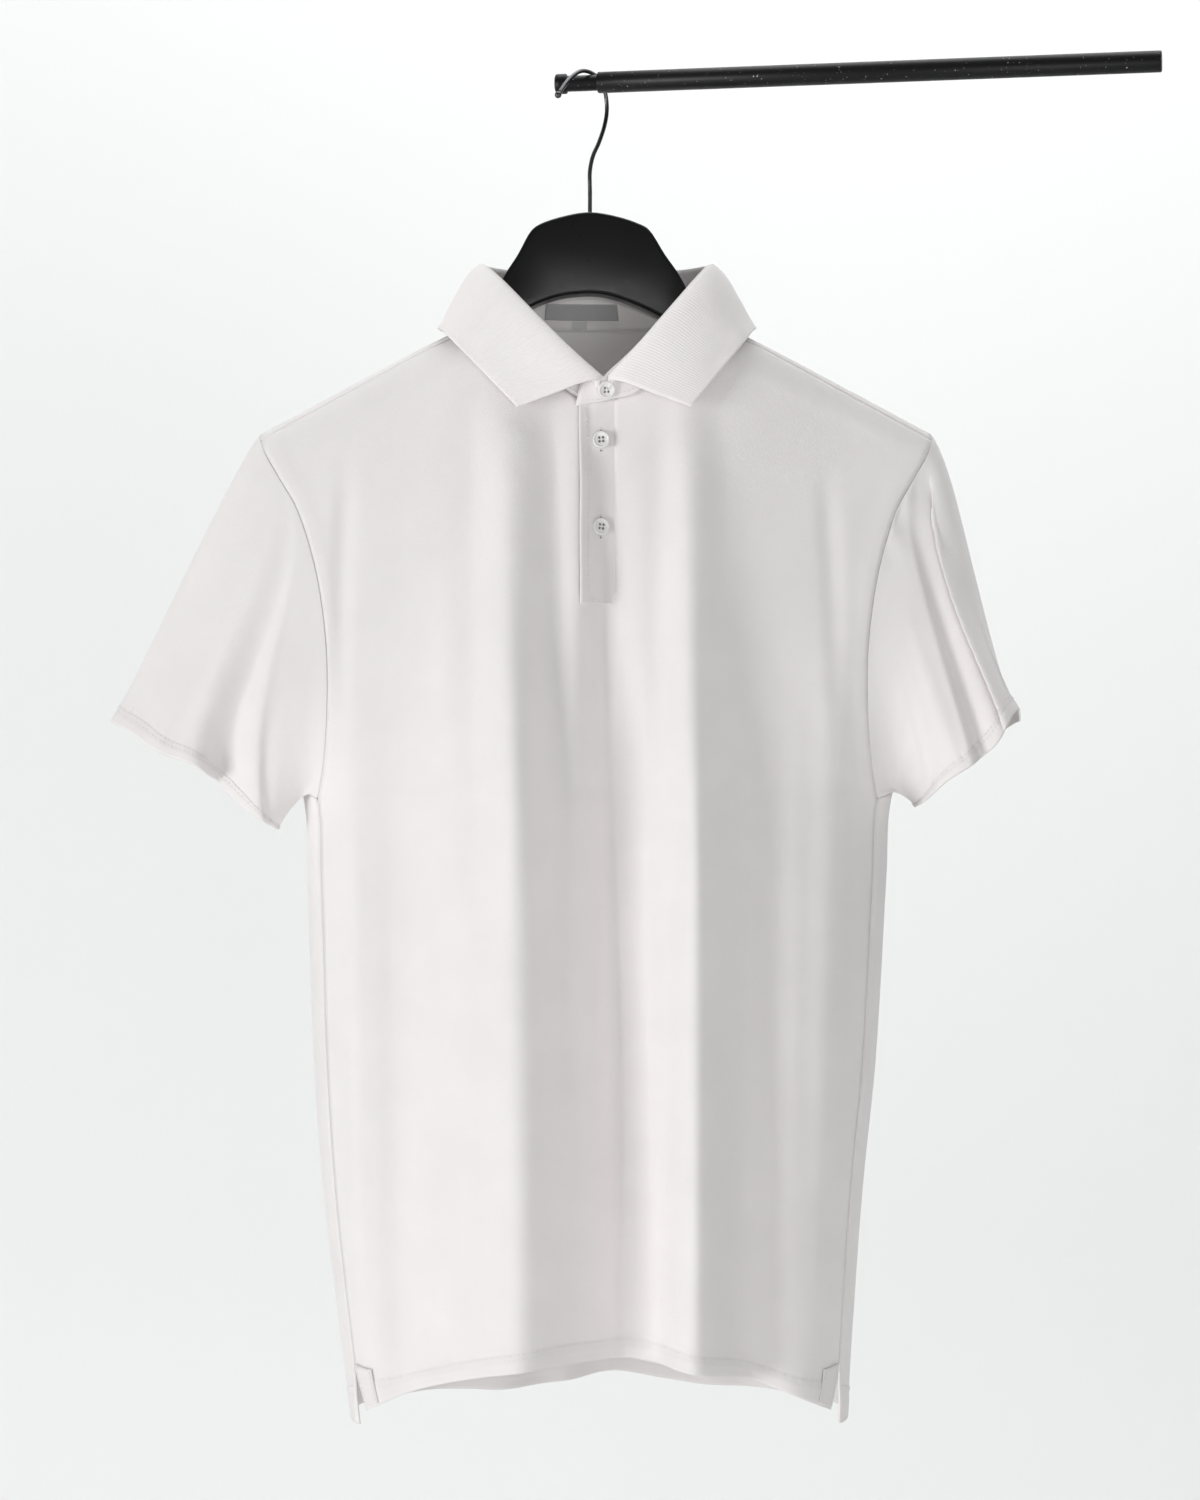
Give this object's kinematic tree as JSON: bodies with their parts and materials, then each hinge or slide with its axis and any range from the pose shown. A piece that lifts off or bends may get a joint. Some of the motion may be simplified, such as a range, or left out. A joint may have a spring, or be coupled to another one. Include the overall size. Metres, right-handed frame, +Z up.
{
  "type": "polo shirt on a hanger",
  "caption": "Short-sleeved polo shirt with a soft collar and buttoned placket, on a wide-shouldered hanger hooked over a thin rod.",
  "frame": {"origin": "where the hook's crown bears on the rod", "axes": "+Z up, the shirt's front faces -Y, +X is the wearer's left"},
  "size_m": [0.6909, 0.2617, 0.9023],
  "materials": {
    "cloth": "soft cotton pique",
    "button": "satin",
    "label": "woven satin",
    "patch": "matte woven",
    "hanger": "satin lacquer",
    "hook": "dark plated wire",
    "rod": "worn black"
  },
  "bodies": {
    "root": {"front": "cloth", "back": "cloth", "sleeve_right": "cloth", "sleeve_left": "cloth", "collar_leaf": "cloth", "collar_stand": "cloth", "placket_upper": "cloth", "placket_under": "cloth", "vent_tape_right": "cloth", "vent_tape_left": "cloth", "neck_label": "label", "size_tab": "label", "sleeve_patch": "patch", "button_1": "button", "button_2": "button", "button_3": "button", "hanger": "hanger", "hook": "hook", "hook_tip": "hook", "rod_end": "rod", "rod_tube": "rod"}
  },
  "joints": []
}
